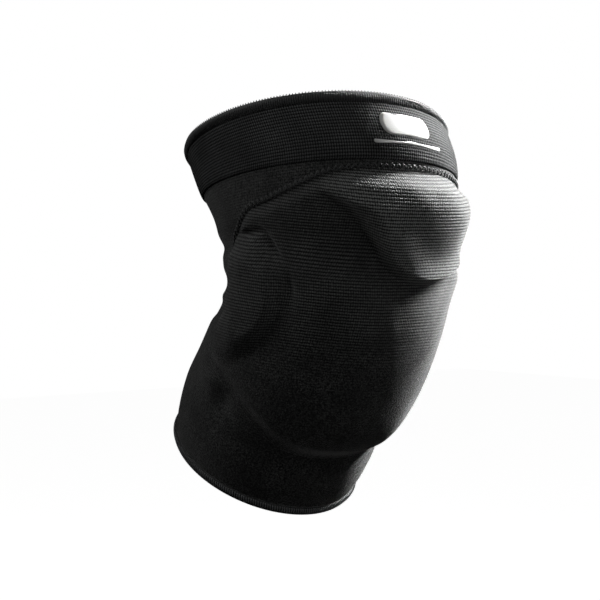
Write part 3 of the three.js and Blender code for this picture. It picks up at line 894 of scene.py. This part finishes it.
def stitch_tree():
    """Lays an arc of thread across a path at even steps. The path carries its directions as attributes."""
    tree = bpy.data.node_groups.new("stitch_row", "GeometryNodeTree")
    tree.interface.new_socket("Geometry", in_out="OUTPUT", socket_type="NodeSocketGeometry")
    for name, kind in STITCH_INPUTS.items():
        tree.interface.new_socket(name, in_out="INPUT", socket_type="NodeSocket" + kind)
    source = add_node(tree, "NodeGroupInput").outputs
    path = add_node(tree, "GeometryNodeMeshToCurve", None, {0: source["Geometry"]}).outputs[0]
    points = add_node(tree, "GeometryNodeResampleCurve", dict(mode="LENGTH"), {
        "Curve": path, "Length": source["Pitch"],
    }).outputs[0]
    arc = add_node(tree, "GeometryNodeCurveArc", None, {
        "Resolution": 7, "Radius": 1.0, "Start Angle": source["Start"], "Sweep Angle": source["Sweep"],
    }).outputs[0]
    size = add_node(tree, "ShaderNodeCombineXYZ", None, {
        0: source["Half depth"], 1: source["Half height"], 2: 1.0,
    }).outputs[0]
    arc = add_node(tree, "GeometryNodeTransform", None, {"Geometry": arc, "Scale": size}).outputs[0]
    ring = add_node(tree, "GeometryNodeCurvePrimitiveCircle", None, {
        "Resolution": 5, "Radius": source["Thread"],
    }).outputs[0]
    thread = add_node(tree, "GeometryNodeCurveToMesh", None, {
        "Curve": arc, "Profile Curve": ring, "Fill Caps": True,
    }).outputs[0]
    vector = dict(data_type="FLOAT_VECTOR")
    directions = [
        add_node(tree, "GeometryNodeInputNamedAttribute", vector, {0: name}).outputs[0]
        for name in ("outward", "along")
    ]
    facing = add_node(tree, "FunctionNodeAxesToRotation", dict(primary_axis="X", secondary_axis="Z"), {
        0: directions[0], 1: directions[1],
    }).outputs[0]
    index = add_node(tree, "GeometryNodeInputIndex").outputs[0]
    odd = add_node(tree, "ShaderNodeMath", dict(operation="MODULO"), {0: index, 1: 2.0}).outputs[0]
    sign = add_node(tree, "ShaderNodeMath", MULTIPLY_ADD, {0: odd, 1: 2.0, 2: -1.0}).outputs[0]
    tilt = add_node(tree, "ShaderNodeMath", MULTIPLY, {0: sign, 1: source["Tilt"]}).outputs[0]
    uneven = add_node(tree, "FunctionNodeRandomValue", dict(data_type="FLOAT"), {
        2: -1.0, 3: 1.0, "Seed": STITCH_SEED,
    }).outputs[1]
    tilt = add_node(tree, "ShaderNodeMath", MULTIPLY_ADD, {
        0: uneven, 1: source["Uneven"], 2: tilt,
    }).outputs[0]
    tilt = add_node(tree, "ShaderNodeMath", dict(operation="ADD"), {0: tilt, 1: source["Slant"]}).outputs[0]
    turned = add_node(tree, "FunctionNodeAxisAngleToRotation", None, {
        0: (1.0, 0.0, 0.0), 1: tilt,
    }).outputs[0]
    facing = add_node(tree, "FunctionNodeRotateRotation", dict(rotation_space="LOCAL"), {
        0: facing, 1: turned,
    }).outputs[0]
    rows = add_node(tree, "GeometryNodeInstanceOnPoints", None, {
        "Points": points, "Instance": thread, "Rotation": facing,
    }).outputs[0]
    mesh = add_node(tree, "GeometryNodeRealizeInstances", None, {0: rows}).outputs[0]
    mesh = add_node(tree, "GeometryNodeSetShadeSmooth", None, {0: mesh}).outputs[0]
    mesh = add_node(tree, "GeometryNodeSetMaterial", None, {
        0: mesh, "Material": source["Material"],
    }).outputs[0]
    add_node(tree, "NodeGroupOutput", None, {0: mesh})
    return tree


stitches = stitch_tree()


def stitch_row(name, turn, reach, height, closed, material, **sizes):
    """Sews a row of stitches along turns and reaches, at a height over the sleeve."""
    points = surface_point(turn, reach, np.broadcast_to(height, turn.shape))
    count = len(points)
    edges = [(i, (i + 1) % count) for i in range(count if closed else count - 1)]
    mesh = bpy.data.meshes.new(name + "_path")
    mesh.from_pydata((points * METRES).tolist(), edges, [])
    normals = outward(turn, reach)
    tangents = np.roll(points, -1, 0) - np.roll(points, 1, 0)
    if not closed:
        tangents[0], tangents[-1] = points[1] - points[0], points[-1] - points[-2]
    tangents /= np.linalg.norm(tangents, axis=1, keepdims=True)
    for label, vectors in (("outward", normals), ("along", tangents)):
        mesh.attributes.new(label, "FLOAT_VECTOR", "POINT").data.foreach_set("vector", vectors.ravel())
    path = bpy.data.objects.new(name + "_path", mesh)
    bpy.context.scene.collection.objects.link(path)
    sewing = path.modifiers.new("sewing", "NODES")
    sewing.node_group = stitches
    values = {label.replace("_", " ").capitalize(): value for label, value in sizes.items()}
    values["Material"] = material
    for socket in stitches.interface.items_tree:
        if socket.in_out == "INPUT" and socket.name in values:
            sewing[socket.identifier] = values[socket.name]
    bpy.context.view_layer.update()
    evaluated = path.evaluated_get(bpy.context.evaluated_depsgraph_get())
    result = bpy.data.meshes.new_from_object(evaluated)
    bpy.data.objects.remove(path)
    piece = bpy.data.objects.new(name, result)
    bpy.context.scene.collection.objects.link(piece)
    return piece


def sew(name, turn, reach, height, closed, material, slot_name, start, sweep, turned=(), **lengths):
    """Sews and finishes a row of stitches, from degrees, radians for what turned holds, and millimetres."""
    sizes = {label: value * METRES for label, value in lengths.items()}
    sizes.update(turned, start=math.radians(start), sweep=math.radians(sweep))
    reach = np.broadcast_to(reach, turn.shape)
    piece = stitch_row(name, turn, reach, height, closed, material, **sizes)
    finish_piece(piece, material, None)


stitch_turns = round_turns(STITCH_STEPS)[:-1]
hem_height = (HEM_WALL - 2 * KNIT_WALL) / 2
sew(
    "top_hem_stitches", stitch_turns, top_hem_middle - 0.4, hem_height, True, black_thread, "hem_knit",
    start=-80, sweep=170, turned=dict(uneven=0.05),
    pitch=1.15, half_height=2.5, half_depth=1.75, thread=0.36,
)
sew(
    "top_hem_picot", stitch_turns, ABOVE_KNEE, hem_height + 0.3, True, black_thread, "hem_knit",
    start=-90, sweep=180, turned=dict(uneven=0.05),
    pitch=1.6, half_height=0.3, half_depth=0.3, thread=0.28,
)
sew(
    "bottom_hem_stitches", stitch_turns, bottom_hem_middle + 0.9, hem_height, True, grey_thread, "hem_knit",
    start=-50, sweep=135, turned=dict(slant=0.25, uneven=0.12),
    pitch=1.25, half_height=2.1, half_depth=1.6, thread=0.3,
)
seam_turns = np.linspace(SIDE_EDGE - 3, 3 - SIDE_EDGE, SEAM_STEPS)
seam_reach = edge_reach("top", seam_turns) - 0.3
sew(
    "seam_stitches", seam_turns, seam_reach, 0.35, False, black_thread, "cover_knit",
    start=-90, sweep=180, turned=dict(tilt=0.6, uneven=0.2),
    pitch=1.5, half_height=1.4, half_depth=0.8, thread=0.42,
)


# Print on the band: a plain bar and a thin line below it

def print_object(name, turn, reach, half_width, half_height, rings=6, spokes=96):
    """A flat print with rounded ends that follows the band's face."""
    bearing = np.linspace(0, math.tau, spokes, endpoint=False)
    straight = (half_width - half_height) * np.sign(np.round(np.cos(bearing), 6))
    rim = np.stack([half_height * np.cos(bearing) + straight, half_height * np.sin(bearing)], -1)
    degrees_per_length = math.degrees(4 / (THIGH_WIDTH + THIGH_DEPTH))
    band_face = BAND_WALL - KNIT_WALL + BAND_ROW_HEIGHT / 2 + PRINT_LIFT
    tops, bottoms = [], []
    for ring in range(1, rings + 1):
        across, along = (rim * ring / rings).T
        for loops, height in ((tops, PRINT_WALL), (bottoms, 0)):
            lift = np.full(spokes, band_face + height)
            loops.append(surface_point(turn + across * degrees_per_length, reach + along, lift))
    return disc_object(name, tops, bottoms)


PRINT_TURN = 5.5
for name, reach, half_width, half_height in (("print_bar", 71.5, 15, 4.4), ("print_line", 64.3, 21, 0.7)):
    mark = print_object(name, PRINT_TURN, reach, half_width, half_height)
    finish_piece(mark, white_print, None)


# Camera, light and floor

FRAME_SIDE = 600  # of the frame, in pixels
FOCAL = 1960  # in the same pixels
ORIGIN_AT = (326, 292.8)  # where the bend's middle lies in the frame
SENSOR = 36
DISTANCE = 1.0
AZIMUTH = -40
ELEVATION = 2


def bearing_vector(azimuth, elevation):
    """The way to a bearing round the part, from angles in degrees."""
    turn, rise = math.radians(azimuth), math.radians(elevation)
    return Vector((math.sin(turn) * math.cos(rise), -math.cos(turn) * math.cos(rise), math.sin(rise)))


camera_data = bpy.data.cameras.new("camera")
camera_data.sensor_width = SENSOR
camera_data.lens = FOCAL / FRAME_SIDE * SENSOR
camera_data.shift_x = 0.5 - ORIGIN_AT[0] / FRAME_SIDE
camera_data.shift_y = ORIGIN_AT[1] / FRAME_SIDE - 0.5
camera_data.clip_start = 0.05
camera = bpy.data.objects.new("camera", camera_data)
bpy.context.scene.collection.objects.link(camera)
towards = bearing_vector(AZIMUTH, ELEVATION)
camera.location = towards * DISTANCE
camera.rotation_euler = towards.to_track_quat("Z", "Y").to_euler()
bpy.context.scene.camera = camera


def area_light(name, azimuth, elevation, distance, size, power, aim=(0, 0, 0), spread=180):
    """A soft light at a bearing round the point it's aimed at."""
    data = bpy.data.lights.new(name, "AREA")
    data.size = size
    data.energy = power
    data.spread = math.radians(spread)
    light = bpy.data.objects.new(name, data)
    way = bearing_vector(azimuth, elevation)
    light.location = Vector(aim) + way * distance
    light.rotation_euler = way.to_track_quat("Z", "Y").to_euler()
    bpy.context.scene.collection.objects.link(light)


THIGH_PAD_AT = (0.046, -0.039, 0.044)
area_light("key_light", 80, 36, 0.35, 0.2, 0.7, aim=THIGH_PAD_AT, spread=32)
area_light("left_fill", -125, 36, 1.0, 0.6, 2.1)
area_light("front_fill", -20, 50, 1.2, 1.0, 1.8)
area_light("low_fill", 0, -25, 0.8, 0.5, 0.9)

# A white surround that only the camera sees, so that the dark knit is lit by the lamps alone
world = bpy.data.worlds.new("studio")
world.use_nodes = True
world.node_tree.nodes["Background"].inputs[0].default_value = colour("#ffffff")
world.cycles_visibility.diffuse = False
world.cycles_visibility.glossy = False
bpy.context.scene.world = world

# Matt white paper: a bright even ground that throws no light on the knit
FLOOR_DROP = 0.35
FLOOR_HALF = 3
floor_material, floor_tree = new_material("matt_white_paper")
paper = add_node(floor_tree, "ShaderNodeTexNoise", None, {"Scale": 400.0}).outputs["Fac"]
paper_look = {"Base Color": colour("#f4f4f2"), "Roughness": 0.9}
paper_glow = {"Emission Color": colour("#ffffff"), "Emission Strength": 0.98}
finish_material(floor_tree, {**paper_look, **paper_glow}, paper, 0.02)
floor_mesh = bpy.data.meshes.new("floor")
corners = [(x * FLOOR_HALF, y * FLOOR_HALF, -FLOOR_DROP) for x, y in ((-1, -1), (1, -1), (1, 1), (-1, 1))]
floor_mesh.from_pydata(corners, [], [(0, 1, 2, 3)])
floor_mesh.materials.append(floor_material)
floor = bpy.data.objects.new("floor", floor_mesh)
floor.visible_diffuse = False
floor.visible_glossy = False
bpy.context.scene.collection.objects.link(floor)

bpy.context.scene.view_settings.view_transform = "Standard"
